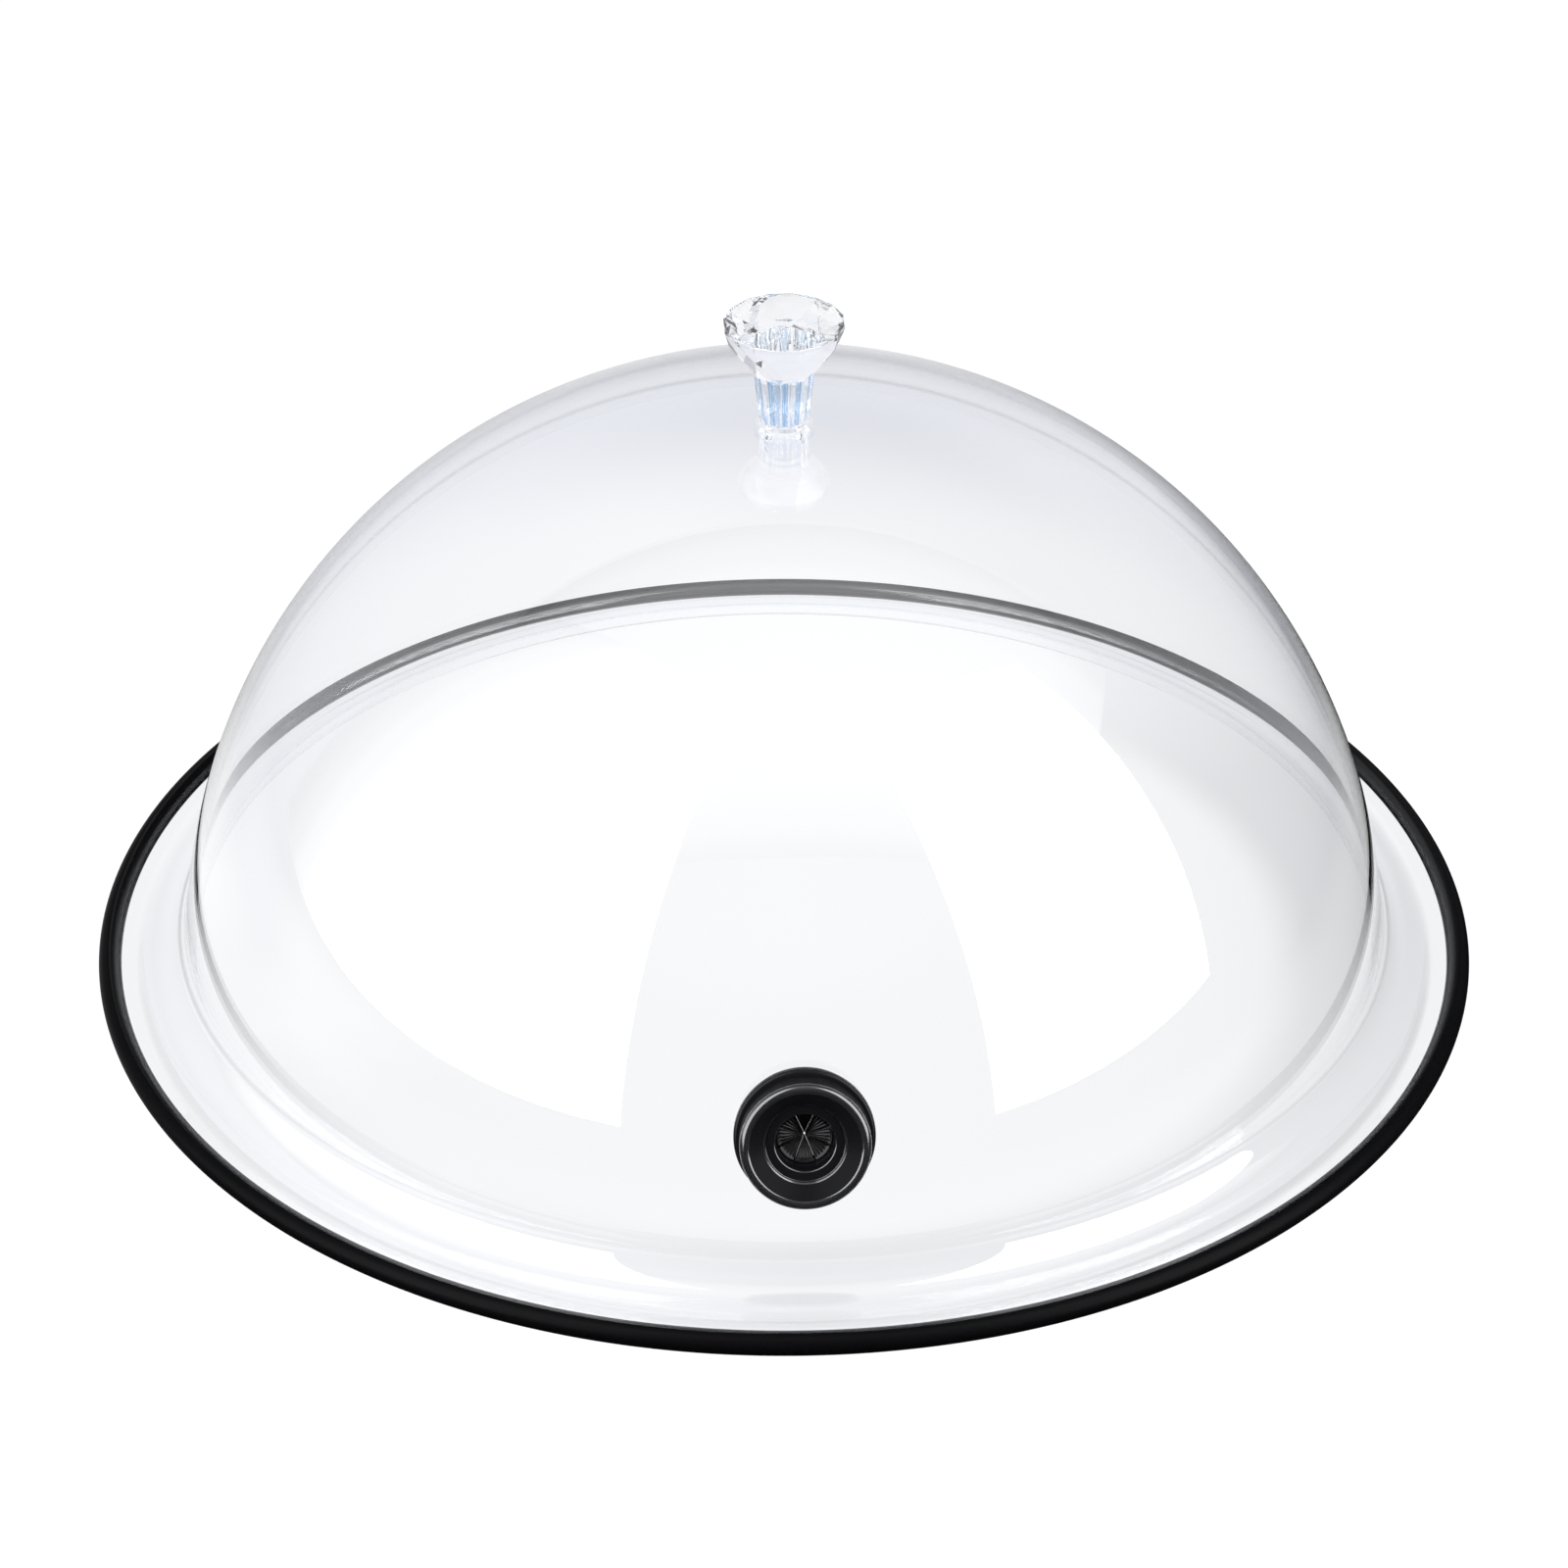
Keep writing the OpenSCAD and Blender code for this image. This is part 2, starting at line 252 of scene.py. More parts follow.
def rough_plastic(name, colour, low, high, scale, bump, depth, specular=0.5):
    """Moulded surface: roughness wanders between low and high over cloudy noise, and a finer noise
    of the same family raises the surface by depth metres times bump."""
    m = bpy.data.materials.new(name)
    m.use_nodes = True
    n, links = m.node_tree.nodes, m.node_tree.links
    body = n["Principled BSDF"]
    body.inputs["Base Color"].default_value = (*colour, 1)
    body.inputs["Specular IOR Level"].default_value = specular
    place = n.new("ShaderNodeTexCoord")
    cloud = n.new("ShaderNodeTexNoise")
    cloud.inputs["Scale"].default_value = scale
    cloud.inputs["Detail"].default_value = 4
    gloss = n.new("ShaderNodeMapRange")
    gloss.inputs["From Min"].default_value = 0.3
    gloss.inputs["From Max"].default_value = 0.7
    gloss.inputs["To Min"].default_value = low
    gloss.inputs["To Max"].default_value = high
    grain = n.new("ShaderNodeTexNoise")
    grain.inputs["Scale"].default_value = scale * 14
    grain.inputs["Detail"].default_value = 3
    raise_ = n.new("ShaderNodeBump")
    raise_.inputs["Strength"].default_value = bump
    raise_.inputs["Distance"].default_value = depth
    links.new(place.outputs["Object"], cloud.inputs["Vector"])
    links.new(place.outputs["Object"], grain.inputs["Vector"])
    links.new(cloud.outputs["Fac"], gloss.inputs["Value"])
    links.new(gloss.outputs["Result"], body.inputs["Roughness"])
    links.new(grain.outputs["Fac"], raise_.inputs["Height"])
    links.new(raise_.outputs["Normal"], body.inputs["Normal"])
    return m


land = math.sqrt(BEAD_R ** 2 - BEAD_Z ** 2)
slot_low, slot_high = FLANGE_LOW - SEAT, lip_high + SEAT
slot_end = lip_x + SEAT
mouth = math.degrees(math.asin((LIP / 2 + SEAT) / BEAD_R))
land_deg = math.degrees(math.asin(BEAD_Z / BEAD_R))
bead = np.vstack([
    line((BEAD_X - land, 0), (BEAD_X + land, 0), 3),
    arc((BEAD_X, BEAD_Z), BEAD_R, -land_deg, 180 - mouth, 44)[1:],
    line((slot_end, slot_high), (slot_end, slot_low), 3),
    arc((BEAD_X, BEAD_Z), BEAD_R, 180 + mouth, 180 + land_deg, 12),
])
seal = solid("edge_seal", [turned(bead, 360)], crease=50)
seal_black = (0.001, 0.001, 0.0012)
seal_inner = rough_plastic("black silicone, moulded skin", seal_black,
                           0.12, 0.14, 60, 0.1, 0.0003)
seal_outer = rough_plastic("black silicone, handled side", seal_black,
                           0.38, 0.42, 60, 0.1, 0.0003, 0.015)
seal.data.materials.append(seal_inner)
seal.data.materials.append(seal_outer)
for face in seal.data.polygons:
    face.material_index = int(face.center.to_2d().length > BEAD_X + 0.1 * MM)
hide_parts("rim_seal")
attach(seal, "cover")


# ---- Knob --------------------------------------------------------------------------------------
# One piece of clear acrylic. The head is cut like a brilliant, with flat kites and triangles above
# and below a narrow girdle, the stem is fluted, and a threaded stud below it goes through the dome.

STUD_R = 3.95 * MM
STEM_LOW, STEM_HIGH = 0.8 * MM, 12.5 * MM
HEAD_LOW = STEM_HIGH - 0.3 * MM
HEAD_R = 12.7 * MM
KNOB_HIGH = 25.5 * MM
FACETS = 8
HEAD_TURN = math.radians(13)


def outline(columns=192):
    """The angles of a ring's points: evenly spread, the last on the first."""
    return 2 * math.pi * np.linspace(0, 1, columns + 1)


def sheet(rows, t):
    """A sheet round Z of rows (radius, height), each radius one number or one for each angle."""
    return np.stack([np.stack([r * np.cos(t), r * np.sin(t), z + 0 * t], axis=-1) for r, z in rows])


def scooped(r, t, count, out, scoop):
    """A circle of radius r with count round scoops. Each is a circle of radius scoop about a point
    c = r + out from the axis, met at c cos a - sqrt(scoop^2 - c^2 sin^2 a) at an angle a from it."""
    half = math.pi / count
    a = (t + half) % (2 * half) - half
    c = r + out
    inside = np.maximum(scoop ** 2 - (c * np.sin(a)) ** 2, 0)
    near = np.where(inside > 0, c * np.cos(a) - np.sqrt(inside), r)
    return np.minimum(near, r)


def thread(r, depth, pitch, low, high, t, steps=8):
    """Rows of a screw thread of crest radius r: the radius falls by depth times a triangle wave of
    height / pitch less the turn, flattened at crest and root, and the wave fades in at both ends."""
    rows = []
    for z in np.linspace(low, high, int((high - low) / pitch * steps) + 1):
        wave = np.abs(2 * ((z / pitch - t / (2 * math.pi)) % 1) - 1)
        wave = np.clip(1.25 * wave - 0.125, 0, 1)
        fade = min(1, (z - low) / pitch, (high - z) / pitch)
        rows.append((r - depth * (fade * wave + 1 - fade), z))
    return rows


def brilliant():
    """The head: six rings of corners, the even and the odd ones each at a radius of their own, and
    between them triangles that make flat kites where their planes agree."""
    n = 2 * FACETS
    shrink = math.cos(math.pi / FACETS)
    neck, belly, crown, table = 7.05 * MM, 0.93 * HEAD_R, 0.68 * HEAD_R, 0.34 * HEAD_R
    girdle = KNOB_HIGH - 3.2 * MM
    rise = 0.8 * MM
    belly_z = HEAD_LOW + (girdle - HEAD_LOW) * (belly * shrink - neck) / (HEAD_R - neck)
    crown_z = KNOB_HIGH - (KNOB_HIGH - girdle - rise) * (crown * shrink - table) / (HEAD_R - table)
    rings = [(HEAD_LOW, neck * shrink, neck, 1), (belly_z, belly, belly * shrink, 0),
             (girdle, HEAD_R, HEAD_R, 0), (girdle + rise, HEAD_R, HEAD_R, 0),
             (crown_z, crown * shrink, crown, 1), (KNOB_HIGH, table, table * shrink, 0)]
    turn = HEAD_TURN + np.arange(n) * math.pi / FACETS
    mesh = bmesh.new()
    corners = [[mesh.verts.new((r * math.cos(t), r * math.sin(t), z))
                for t, r in zip(turn, [even, odd] * FACETS)] for z, even, odd, _ in rings]
    mesh.faces.new(corners[0][::-1])
    mesh.faces.new(corners[-1])
    for ring, above, (_, _, _, first) in zip(corners, corners[1:], rings):
        for i in range(n):
            a, b, c, d = ring[i], ring[(i + 1) % n], above[i], above[(i + 1) % n]
            split = ((a, b, c), (b, d, c)) if i % 2 != first else ((a, b, d), (a, d, c))
            for face in split:
                mesh.faces.new(face)
    bmesh.ops.recalc_face_normals(mesh, faces=mesh.faces)
    bmesh.ops.dissolve_limit(mesh, angle_limit=math.radians(0.4),
                             verts=mesh.verts, edges=mesh.edges)
    bmesh.ops.bevel(mesh, geom=mesh.edges, offset=0.12 * MM, segments=2,
                    affect="EDGES", profile=0.5)
    data = bpy.data.meshes.new("head")
    mesh.to_mesh(data)
    mesh.free()
    obj = bpy.data.objects.new("head", data)
    bpy.context.scene.collection.objects.link(obj)
    return obj


def fused(name, pieces):
    """The pieces' union as one object's mesh. The pieces go."""
    first = pieces[0]
    for other in pieces[1:]:
        cut = first.modifiers.new("fuse", "BOOLEAN")
        cut.operation, cut.solver, cut.object = "UNION", "EXACT", other
    bpy.context.view_layer.update()
    graph = bpy.context.evaluated_depsgraph_get()
    mesh = bpy.data.meshes.new_from_object(first.evaluated_get(graph))
    for piece in pieces:
        bpy.data.objects.remove(piece)
    obj = bpy.data.objects.new(name, mesh)
    bpy.context.scene.collection.objects.link(obj)
    return obj


def lift(obj, z):
    """Moves an object's points up."""
    for v in obj.data.vertices:
        v.co.z += z
    return obj


FLUTES, FLUTE_OUT, FLUTE_R = 12, 0.5 * MM, 1.1 * MM
stem_turn = outline(240)
stem_rows = []
for z in np.linspace(STEM_LOW, STEM_HIGH + 1 * MM, 15):
    r = (5.3 + 1.2 * (z - STEM_LOW) / (STEM_HIGH - STEM_LOW)) * MM
    stem_rows.append((scooped(r, stem_turn, FLUTES, FLUTE_OUT, FLUTE_R), z))
stem_rows = [(0, STEM_LOW)] + stem_rows + [(0, STEM_HIGH + 1 * MM)]
stem = solid("stem", [sheet(stem_rows, stem_turn)], crease=40)
stud_turn = outline(48)
stud_low = -9.2 * MM
stud = solid("stud", [sheet(
    [(0, stud_low), (STUD_R - 0.7 * MM, stud_low)]
    + thread(STUD_R, 0.55 * MM, 1.25 * MM, stud_low + 0.15 * MM, 0.6 * MM, stud_turn)
    + [(STUD_R - 0.1 * MM, 0.8 * MM), (STUD_R - 0.1 * MM, 3 * MM), (0, 3 * MM)], stud_turn)],
    crease=40)
knob = lift(fused("lifting_knob", [brilliant(), stem]), DOME_R)
knob.data.shade_smooth()
knob.data.set_sharp_from_angle(angle=math.radians(35))
for face in knob.data.polygons:
    if face.center.z > DOME_R + HEAD_LOW - 0.01 * MM:
        face.use_smooth = False
knob_clear = clear("clear acrylic", (0.985, 0.99, 1.0), 1.49, 0.0, 0.01, (0.93, 0.95, 0.98))
# The flutes' faces get a blue-grey tint and a darker film: a painted dark streak that stands in for the
# dark surroundings the fluted stem refracts.
flute_painted_streak = clear("clear acrylic, painted flute streak", (0.36, 0.6, 0.93), 1.49, 0.05, 0.0, (0.8, 0.85, 0.95))
knob.data.materials.clear()
knob.data.materials.append(knob_clear)
knob.data.materials.append(flute_painted_streak)
FLUTE_HALF = 6.5                       # degrees either side of a flute's middle that get the painted dark streak
flute_step = 360 / FLUTES
for face in knob.data.polygons:
    x, y, z = face.center
    off = (math.degrees(math.atan2(y, x)) + flute_step / 2) % flute_step - flute_step / 2
    if STEM_LOW + 0.1 * MM < z - DOME_R < HEAD_LOW - 0.1 * MM and abs(off) < FLUTE_HALF:
        face.material_index = 1
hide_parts("knob")
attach(knob, "cover")
faint_clear = clear("clear nylon", (0.997, 0.998, 1.0), 1.02, 0.0, 0.0, (0.98, 0.985, 0.99))
stud = lift(stud, DOME_R)
stud.data.materials.append(faint_clear)
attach(stud, "cover")


# ---- Knob's nut and washers --------------------------------------------------------------------
# Inside the dome a clear moulded hexagon nut with a round flange draws the stud up. A soft clear
# washer on each side of the wall lies between it and the hard plastic.

NUT_TOP = -WALL - 1 * MM - SEAT
NUT_LOW = -9.6 * MM
NUT_BORE = 4.0 * MM
nut_turn = outline(144)
hexagon = 5.8 * MM * math.cos(math.pi / 6) / np.cos(nut_turn % (math.pi / 3) - math.pi / 6)
bevels = [(5.1, 0), (5.28, 0.1), (5.46, 0.2), (5.64, 0.3), (5.81, 0.4)]
nut_rows = [(NUT_BORE, NUT_TOP), (6.05 * MM, NUT_TOP), (6.2 * MM, NUT_TOP - 0.15 * MM),
            (6.2 * MM, NUT_TOP - 0.8 * MM), (6.05 * MM, NUT_TOP - 0.95 * MM)]
nut_rows += [(np.minimum(hexagon, 5.81 * MM), NUT_TOP - 1 * MM)]
nut_rows += [(np.minimum(hexagon, r * MM), NUT_LOW + z * MM) for r, z in bevels[::-1]]
nut_rows += [(NUT_BORE, NUT_LOW), (NUT_BORE, NUT_TOP)]
nut = lift(solid("knob_hex_nut", [sheet(nut_rows, nut_turn)], crease=20), DOME_R)
nut.data.materials.append(faint_clear)
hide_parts("knob_nut")
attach(nut, "cover")

for name in ("knob_foot_washer", "knob_inner_washer"):
    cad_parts[name].data.materials.clear()
    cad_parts[name].data.materials.append(faint_clear)


# ---- Hose port ---------------------------------------------------------------------------------
# Black moulded fitting, turned here from its section. A flange on a threaded barrel goes through
# the wall from outside and carries a collar on which the funnel-shaped bezel screws down.

GASKET = 1.2 * MM
FLANGE = 3.2 * MM
FLANGE_R = 14.25 * MM
BARREL_R, BARREL_BORE, BARREL_END = 9.9 * MM, 7.6 * MM, -7.6 * MM
POCKET_R, POCKET = 9.5 * MM, 2 * MM
COLLAR_R, COLLAR = 10.9 * MM, 5.8 * MM
BEZEL_R, BEZEL_HIGH, BEZEL_ROUND = 13.2 * MM, 9.6 * MM, 1.2 * MM
HOSE_R = 6 * MM
LEDGE, LEDGE_R, LEDGE_EDGE = 6.4 * MM, 8.07 * MM, 0.33 * MM
FUNNEL = math.radians(36)
GLAND_GAP = 0.05 * MM


def at_port(name, rows, t, crease=30):
    """A ring of rows round the port's axis, in its place on the dome."""
    return solid(name, [port_place(sheet(rows, t))], crease)


port_turn = outline(160)
gland_low = GASKET + SEAT
body_rows = ([(BARREL_BORE, 0), (BARREL_BORE, BARREL_END + 0.2 * MM),
              (BARREL_BORE + 0.2 * MM, BARREL_END), (BARREL_R - 0.75 * MM, BARREL_END)]
             + thread(BARREL_R, 0.6 * MM, 1.5 * MM, BARREL_END + 0.1 * MM, -WALL - 0.4 * MM,
                      port_turn)
             + [(BARREL_R, -WALL), (BARREL_R, gland_low)]
             + [tuple(p) for p in rounded([(BARREL_R + 1 * MM, gland_low), (FLANGE_R, gland_low),
                                           (FLANGE_R, FLANGE), (COLLAR_R, FLANGE)],
                                          [0.25 * MM, 0.7 * MM], 9)[:-1]]
             + [tuple(p) for p in rounded([(COLLAR_R + 0.3 * MM, FLANGE), (COLLAR_R, FLANGE),
                                           (COLLAR_R, COLLAR), (POCKET_R, COLLAR), (POCKET_R, POCKET),
                                           (BARREL_BORE, POCKET), (BARREL_BORE, 0)],
                                          [0.2 * MM, 0.2 * MM, 0.2 * MM, 0.1 * MM, 0.2 * MM])])
port = at_port("port_gland", body_rows, port_turn)
port_gloss = rough_plastic("black moulded plastic", (0.006, 0.006, 0.007),
                           0.1, 0.16, 120, 0.02, 0.0002)
port_sheen = rough_plastic("black eggshell plastic", (0.003, 0.003, 0.0035),
                           0.2, 0.26, 120, 0.01, 0.0002, 0.06)
port.data.materials.append(port_sheen)
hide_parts("port_body")
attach(port, "cover")

rim_x, rim_z = BEZEL_R - BEZEL_ROUND, BEZEL_HIGH - BEZEL_ROUND
crest = arc((rim_x, rim_z), BEZEL_ROUND, 0, 90 + math.degrees(FUNNEL), 17)
foot_x = LEDGE_R + LEDGE_EDGE
foot_z = crest[-1, 1] - (crest[-1, 0] - foot_x) * math.tan(FUNNEL)
bezel_low = FLANGE + 2 * SEAT
slot_in, slot_out, slot_top = POCKET_R - GLAND_GAP, COLLAR_R + GLAND_GAP, COLLAR + SEAT
bezel_rows = [tuple(p) for p in np.vstack([
    [(slot_out, bezel_low)],
    rounded([(slot_out + 1 * MM, bezel_low), (BEZEL_R, bezel_low), (BEZEL_R, rim_z - 1 * MM)],
            [0.3 * MM]),
    crest,
    rounded([(crest[-1, 0] - 1 * MM, crest[-1, 1] - 1 * MM * math.tan(FUNNEL)), (foot_x, foot_z),
             (LEDGE_R, foot_z - LEDGE_EDGE), (LEDGE_R, LEDGE), (HOSE_R, LEDGE), (HOSE_R, bezel_low),
             (slot_in - 1 * MM, bezel_low)],
            [0.35 * MM, 0.3 * MM, 0.15 * MM, 0.35 * MM, 0.15 * MM], 7),
    [(slot_in, bezel_low), (slot_in, slot_top), (slot_out, slot_top), (slot_out, bezel_low)]])]
bezel = at_port("port_funnel_bezel", bezel_rows, port_turn, crease=40)
port_satin = rough_plastic("black satin plastic", (0.0025, 0.0025, 0.003),
                           0.3, 0.4, 120, 0.02, 0.0002, 0.012)
bezel.data.materials.append(port_gloss)
bezel.data.materials.append(port_satin)
axis = Vector((0, -math.cos(PORT_TILT), math.sin(PORT_TILT)))
for face in bezel.data.polygons:
    high = face.center @ axis
    away = (face.center - axis * high).length
    crest_here = away > rim_x - 0.9 * MM and high > DOME_R + BEZEL_HIGH - 1.25 * MM
    ledge_here = abs(away - LEDGE_R) < 0.3 * MM and high > DOME_R + LEDGE
    hole_here = away < HOSE_R + 0.3 * MM and high > DOME_R + LEDGE - 0.6 * MM
    if not (crest_here or ledge_here or hole_here):
        face.material_index = 1
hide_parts("port_bezel")
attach(bezel, "cover")


# ---- Port's lock nut and gaskets ---------------------------------------------------------------
# A thin ring nut inside the dome, with six round notches for a spanner, pulls the flange against
# its rubber gasket. A second gasket under the nut seals the inner face of the wall.

NUT_HIGH = -3.6 * MM - SEAT
RING_R = 11.5 * MM
RING_T = 3 * MM
NOTCHES = 6
ring_turn = outline(288)
notched = scooped(RING_R, ring_turn, NOTCHES, 0.9 * MM, 1.5 * MM)
eased = scooped(RING_R - 0.3 * MM, ring_turn, NOTCHES, 1.0 * MM, 1.6 * MM)
bore = BARREL_R + GLAND_GAP
ring_rows = [(bore, NUT_HIGH), (eased, NUT_HIGH), (notched - 0.08 * MM, NUT_HIGH - 0.1 * MM),
             (notched, NUT_HIGH - 0.3 * MM), (notched, NUT_HIGH - RING_T + 0.3 * MM),
             (notched - 0.08 * MM, NUT_HIGH - RING_T + 0.1 * MM), (eased, NUT_HIGH - RING_T),
             (bore + 0.2 * MM, NUT_HIGH - RING_T), (bore, NUT_HIGH - RING_T + 0.2 * MM), (bore, NUT_HIGH)]
ring_nut = at_port("port_ring_nut", ring_rows, ring_turn)
ring_plastic = rough_plastic("black nut plastic", (0.008, 0.008, 0.009),
                             0.25, 0.35, 150, 0.06, 0.0002)
ring_nut.data.materials.append(ring_plastic)
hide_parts("port_lock_nut")
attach(ring_nut, "cover")

gasket_rubber = rough_plastic("gasket rubber", (0.01, 0.01, 0.011),
                              0.5, 0.65, 200, 0.1, 0.0002)
for name in ("port_outer_gasket", "port_inner_gasket"):
    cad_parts[name].data.materials.clear()
    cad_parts[name].data.materials.append(gasket_rubber)


# ---- Diaphragm ---------------------------------------------------------------------------------
# Eight soft rubber petals cut in one moulding that is clamped at its ring. They close the port and
# bend inwards round a hose. Fine ribs run from root to tip, with a bead along the root.

HINGE_X, HINGE_Z = 6.4 * MM, 2.05 * MM
PETALS = 8
PETAL_T, PETAL_TIP = 0.6 * MM, 0.2 * MM
SLIT, RELIEF = 0.05 * MM, 0.6 * MM
SLOPE = math.radians(18)


def petal(k):
    """One petal, a closed skin over a grid from root to tip. A point at x from the port's axis lies
    hinge - (hinge_x - x) tan slope high. The upper face is raised by a bead near the root and by
    ribs that fan out from the tip, and falls off towards the two slits."""
    half = math.pi / PETALS
    u = np.linspace(0, 1, 49)[:, None]
    v = np.linspace(-1, 1, 41)[None, :]
    x = HINGE_X + (PETAL_TIP - HINGE_X) * u + 0 * v
    corner = HINGE_X / math.cos(half) - RELIEF
    width = x * math.tan(half) - SLIT / 2 / math.cos(half)
    reach = np.hypot(x, width)
    width = np.where(reach > corner, width - 1.0 * (reach - corner), width)
    y = v * width
    edge = (1 - np.abs(v)) * width
    low_z = HINGE_Z - (HINGE_X - x) * math.tan(SLOPE)
    fall = np.clip(1 - edge / (0.3 * MM), 0, 1) ** 2 * 0.16 * MM
    bead_here = 0.16 * MM * np.exp(-((np.hypot(x, y) - 5.45 * MM) / (0.28 * MM)) ** 2)
    inner = np.clip((5.1 * MM - x) / (0.6 * MM), 0, 1) * np.clip((x - 0.3 * MM) / (1.2 * MM), 0, 1)
    ribs = 0.055 * MM * inner * np.cos(v * math.pi * 5)
    tip_fall = 0.1 * MM * np.clip((0.8 * MM - x) / (0.6 * MM), 0, 1) ** 2
    high_z = low_z + (PETAL_T - 0.2 * MM) / math.cos(SLOPE) - fall + (bead_here + ribs) - tip_fall
    top = np.stack([x, y, high_z], axis=-1)
    under = np.stack([x, y, low_z], axis=-1)
    sheets = [top, under, np.stack([top[0], under[0]]), np.stack([top[-1], under[-1]]),
              np.stack([top[:, 0], under[:, 0]]), np.stack([top[:, -1], under[:, -1]])]
    a = 2 * k * half
    spin = np.array([[math.cos(a), math.sin(a), 0], [-math.sin(a), math.cos(a), 0], [0, 0, 1]])
    return [port_place(s @ spin) for s in sheets]


petal_rubber = rough_plastic("diaphragm rubber", (0.0025, 0.0025, 0.003),
                             0.2, 0.3, 300, 0.02, 0.0002, 0.1)
for k in range(PETALS):
    flap = solid(f"diaphragm_petal_{k + 1}", petal(k), crease=50)
    flap.data.materials.append(petal_rubber)
    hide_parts(f"petal_{k + 1}")
    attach(flap, f"petal_{k + 1}")
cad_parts["diaphragm_ring"].data.materials.clear()
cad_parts["diaphragm_ring"].data.materials.append(petal_rubber)


# ---- Studio ------------------------------------------------------------------------------------
# A white table under a tent: a softbox on each side, standing on the table, a larger dim one
# overhead, and cloth all round that is bright behind and to the left and dark elsewhere. What the
# camera sees directly, what reflects and what clear pieces let through each have greys of their own.

CLEAR_MOST, CLEAR_DEPTH = 0.95, 6.5


def panel(name, corners, along, up=(1, 1)):
    """A softbox: four corners as a grid of two by two, glowing on both faces. Its brightness is the
    product of the levels along it and up it, each joined smoothly between evenly spaced stops. Seen
    through a clear piece it is no brighter than CLEAR_MOST, unless light has gone through more than
    CLEAR_DEPTH surfaces."""
    grid = np.array(corners, float).reshape(2, 2, 3)
    s, t = np.meshgrid(np.linspace(0, 1, 61), np.linspace(0, 1, 61), indexing="ij")

    def stops(levels, where):
        place = where * (len(levels) - 1)
        low = np.minimum(place.astype(int), len(levels) - 2)
        part = place - low
        levels = np.array(levels, float)
        return levels[low] + (levels[low + 1] - levels[low]) * (3 * part ** 2 - 2 * part ** 3)

    bright = (stops(along, s) * stops(up, t)).ravel()
    s, t = s[..., None], t[..., None]
    near = (1 - t) * grid[0, 0] + t * grid[0, 1]
    far = (1 - t) * grid[1, 0] + t * grid[1, 1]
    points = (1 - s) * near + s * far
    obj = solid(name, [points])
    obj.data.attributes.new("level", "FLOAT", "POINT").data.foreach_set("value", bright)
    m = bpy.data.materials.new(name)
    m.use_nodes = True
    n, links = m.node_tree.nodes, m.node_tree.links
    n.remove(n["Principled BSDF"])
    glow = n.new("ShaderNodeEmission")
    read = n.new("ShaderNodeAttribute")
    read.attribute_name = "level"
    least = n.new("ShaderNodeMath")
    least.operation = "MINIMUM"
    least.inputs[1].default_value = CLEAR_MOST
    ray = n.new("ShaderNodeLightPath")
    deep = n.new("ShaderNodeMath")
    deep.operation = "GREATER_THAN"
    deep.inputs[1].default_value = CLEAR_DEPTH
    clear_mix = n.new("ShaderNodeMix")
    mix = n.new("ShaderNodeMix")
    links.new(read.outputs["Fac"], least.inputs[0])
    links.new(ray.outputs["Transmission Depth"], deep.inputs[0])
    links.new(deep.outputs["Value"], clear_mix.inputs[0])
    links.new(least.outputs["Value"], clear_mix.inputs[2])
    links.new(read.outputs["Fac"], clear_mix.inputs[3])
    links.new(ray.outputs["Is Transmission Ray"], mix.inputs[0])
    links.new(read.outputs["Fac"], mix.inputs[2])
    links.new(clear_mix.outputs[0], mix.inputs[3])
    links.new(mix.outputs[0], glow.inputs["Strength"])
    links.new(glow.outputs["Emission"], n["Material Output"].inputs["Surface"])
    obj.data.materials.append(m)
    obj.visible_camera = False
    return obj


def around(azimuth, distance, height):
    """A place in the studio: azimuth in degrees from -Y towards +X."""
    a = math.radians(azimuth)
    return (distance * math.sin(a), -distance * math.cos(a), height)


def compass(tree, vector, greys, tint=(0.975, 0.985, 1)):
    """Grey that changes with azimuth, from (azimuth, grey) stops that run from -180 to 180."""
    turn = tree.nodes.new("ShaderNodeMapping")
    turn.inputs["Rotation"].default_value = (0, 0, math.pi / 2)
    angle = tree.nodes.new("ShaderNodeTexGradient")
    angle.gradient_type = "RADIAL"
    ramp = tree.nodes.new("ShaderNodeValToRGB")
    stops = ramp.color_ramp.elements
    while len(stops) < len(greys):
        stops.new(0.5)
    for stop, (azimuth, grey) in zip(stops, greys):
        stop.position = azimuth / 360 + 0.5
        stop.color = (tint[0] * grey, tint[1] * grey, tint[2] * grey, 1)
    tree.links.new(vector, turn.inputs["Vector"])
    tree.links.new(turn.outputs["Vector"], angle.inputs["Vector"])
    tree.links.new(angle.outputs["Fac"], ramp.inputs["Fac"])
    return ramp.outputs["Color"]


def blend(tree, value, low, high, first, second):
    """first where value is below low, second where it is above high, and a smooth mix between."""
    step = tree.nodes.new("ShaderNodeMapRange")
    step.interpolation_type = "SMOOTHSTEP"
    step.inputs["From Min"].default_value = low
    step.inputs["From Max"].default_value = high
    mix = tree.nodes.new("ShaderNodeMix")
    mix.data_type = "RGBA"
    tree.links.new(value, step.inputs["Value"])
    tree.links.new(step.outputs["Result"], mix.inputs[0])
    for index, colour in ((6, first), (7, second)):
        if isinstance(colour, tuple):
            mix.inputs[index].default_value = colour
        else:
            tree.links.new(colour, mix.inputs[index])
    return mix.outputs[2]
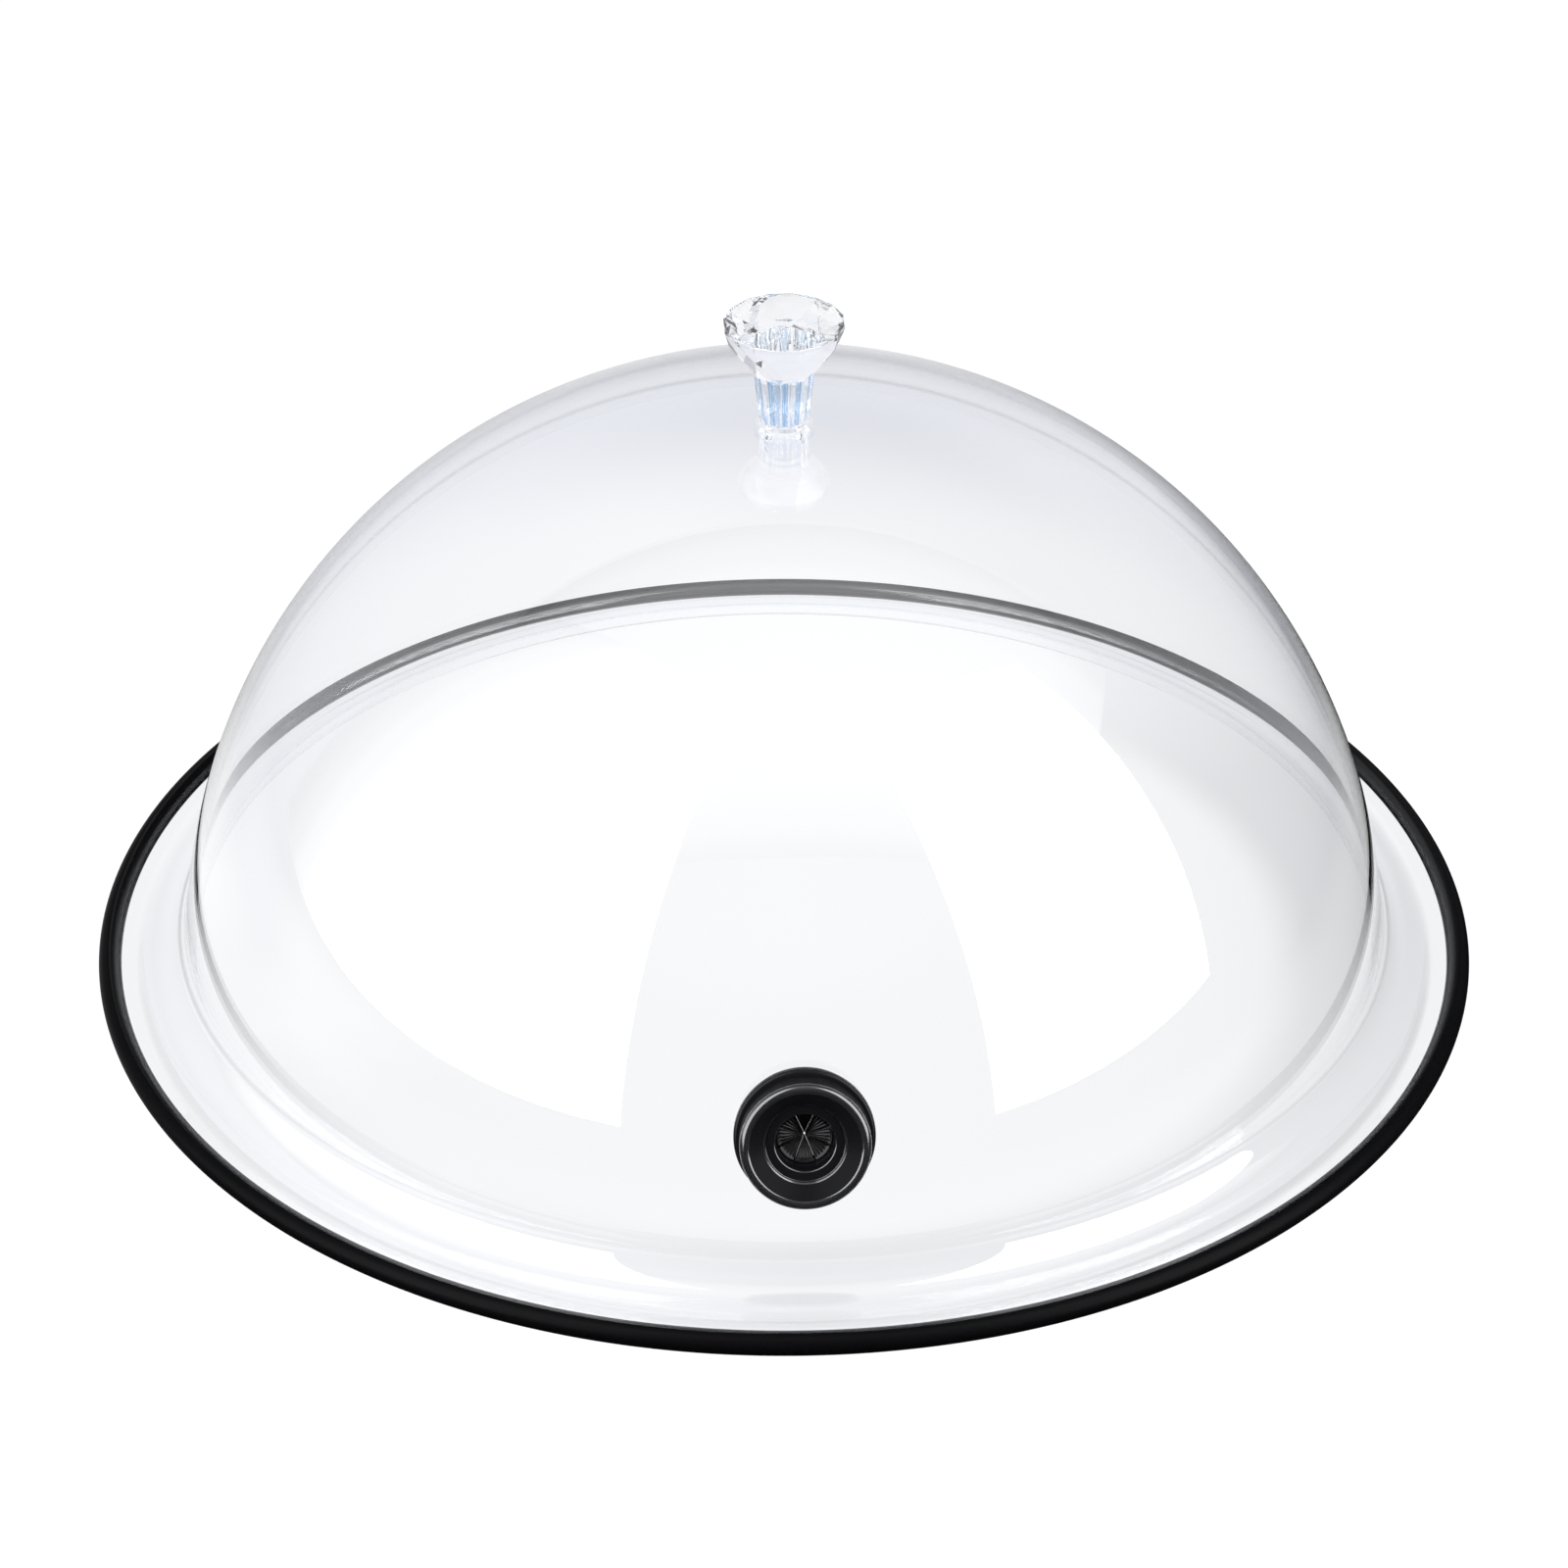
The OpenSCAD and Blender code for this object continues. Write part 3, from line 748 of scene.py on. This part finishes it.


# Greys by azimuth. LOW_CLOTH, HIGH_CLOTH and TABLE are met by reflections, FLANGE_SHADOW is painted
# shadow on the table under the clear flange at the cover's foot, and BEHIND is what clear pieces let
# through.
LOW_CLOTH = [(-180, 0.5), (-158, 0.7), (-137, 0.55), (-115, 0.5), (-90, 0.4), (-50, 0.1),
             (0, 0.04), (50, 0.03), (100, 0.0), (125, 0.0), (140, 0.15), (154, 0.75), (180, 0.5)]
HIGH_CLOTH = [(-180, 0.05), (-154, 0.45), (-137, 0.5), (-100, 0.4), (0, 0.45), (60, 0.3),
              (100, 0.1), (125, 0.0), (150, 0.0), (165, 0.0), (180, 0.05)]
TABLE = [(-180, 0.95), (-172, 0.9), (-165, 0.75), (-129, 0.6), (-103, 1.1), (-75, 0.9),
         (-55, 0.05), (0, 0.02), (61, 0.04), (100, 0.0), (130, 0.0), (158, 0.45), (166, 0.7),
         (173, 0.95), (180, 0.95)]
FLANGE_SHADOW = [(-180, 1.0), (-120, 0.98), (-90, 0.94), (-40, 1.03), (0, 0.9), (40, 0.93), (90, 0.82),
         (120, 0.85), (150, 1.0), (180, 1.0)]
WHITE = (1.05, 1.05, 1.05, 1)
LAVENDER = (0.92, 0.935, 1)
BEHIND = [(-180, 0.87), (-150, 0.88), (-120, 0.72), (-60, 0.75), (0, 0.87), (60, 0.6),
          (120, 0.52), (150, 0.78), (180, 0.87)]

panel("right_box", [around(32.3, 0.62, 0.0), around(34, 0.62, 1.75),
                    around(79.5, 1.15, 0.0), around(98, 1.37, 1.75)], (12, 12))
panel("left_box", [around(-28, 0.62, 0.0), around(-29, 0.62, 2.9),
                   around(-118, 1.75, 0.0), around(-118, 2.0, 4.0)],
      (12, 12, 7, 3, 1.2, 0.7, 0.45, 0.4), (1, 1, 1, 0.5, 0))
panel("top_box", [(-3, -1.75, 2.0), (3, -1.75, 2.0), (-3, 1.2, 2.3), (3, 1.2, 2.3)],
      (0.45, 0.9, 1.3, 1.6, 1.7, 1.5, 1.0, 0.5, 0.1))

FLOOR_HALF, FLOOR_Z = 6, -0.0002
spread = np.linspace(-FLOOR_HALF, FLOOR_HALF, 25)
gx, gy = np.meshgrid(spread, spread, indexing="ij")
floor = solid("floor", [np.stack([gx, gy, 0 * gx + FLOOR_Z], axis=-1)])
table = bpy.data.materials.new("white table")
table.use_nodes = True
tree = table.node_tree
tree.nodes.remove(tree.nodes["Principled BSDF"])
place = tree.nodes.new("ShaderNodeTexCoord").outputs["Object"]
far = tree.nodes.new("ShaderNodeVectorMath")
far.operation = "LENGTH"
tree.links.new(place, far.inputs[0])
ray = tree.nodes.new("ShaderNodeLightPath")
reach = far.outputs["Value"]           # distance from the cover's axis
plain = (1, 1, 1, 1)
seen = blend(tree, reach, 0.3, 0.8, compass(tree, place, TABLE), compass(tree, place, LOW_CLOTH))
through = blend(tree, reach, 0.18, 0.27, plain, compass(tree, place, BEHIND, LAVENDER))
seen = blend(tree, ray.outputs["Is Transmission Ray"], 0, 1, seen, through)
# Painted shadow: between 0.104 and 0.15 m from the axis, under the clear flange, rays other than the
# camera's meet the table darkened by the greys of the painted shadow listed above.
shade = blend(tree, reach, 0.104, 0.118, plain, compass(tree, place, FLANGE_SHADOW))
shade = blend(tree, reach, 0.139, 0.142, shade, plain)
seen = blend(tree, reach, 0.146, 0.15, shade, seen)
seen = blend(tree, ray.outputs["Is Camera Ray"], 0, 1, seen, WHITE)
glow = tree.nodes.new("ShaderNodeEmission")
tree.links.new(seen, glow.inputs["Color"])
tree.links.new(glow.outputs["Emission"], tree.nodes["Material Output"].inputs["Surface"])
floor.data.materials.append(table)

world = bpy.data.worlds.new("studio")
world.use_nodes = True
tree = world.node_tree
place = tree.nodes.new("ShaderNodeTexCoord").outputs["Generated"]
split = tree.nodes.new("ShaderNodeSeparateXYZ")
tree.links.new(place, split.inputs["Vector"])
ray = tree.nodes.new("ShaderNodeLightPath")
cloth = blend(tree, split.outputs["Z"], 0.25, 0.6,
              compass(tree, place, LOW_CLOTH), compass(tree, place, HIGH_CLOTH))
cloth = blend(tree, ray.outputs["Is Transmission Ray"], 0, 1,
              cloth, compass(tree, place, BEHIND, LAVENDER))
cloth = blend(tree, ray.outputs["Is Camera Ray"], 0, 1, cloth, WHITE)
tree.links.new(cloth, tree.nodes["Background"].inputs["Color"])
bpy.context.scene.world = world
bpy.context.scene.view_settings.view_transform = "Standard"


# ---- Camera ------------------------------------------------------------------------------------

azimuth, elevation, distance = math.radians(-1.85), math.radians(32.86), 1.361
aim = Vector((0, 0, 0.04045))
back = Vector((math.sin(azimuth) * math.cos(elevation), -math.cos(azimuth) * math.cos(elevation),
               math.sin(elevation)))
cam = bpy.data.objects.new("camera", bpy.data.cameras.new("camera"))
cam.data.sensor_width = 36
cam.data.lens = 144.3
cam.location = aim + back * distance
cam.rotation_mode = "QUATERNION"
cam.rotation_quaternion = (-back).to_track_quat("-Z", "Y")
bpy.context.scene.collection.objects.link(cam)
bpy.context.scene.camera = cam
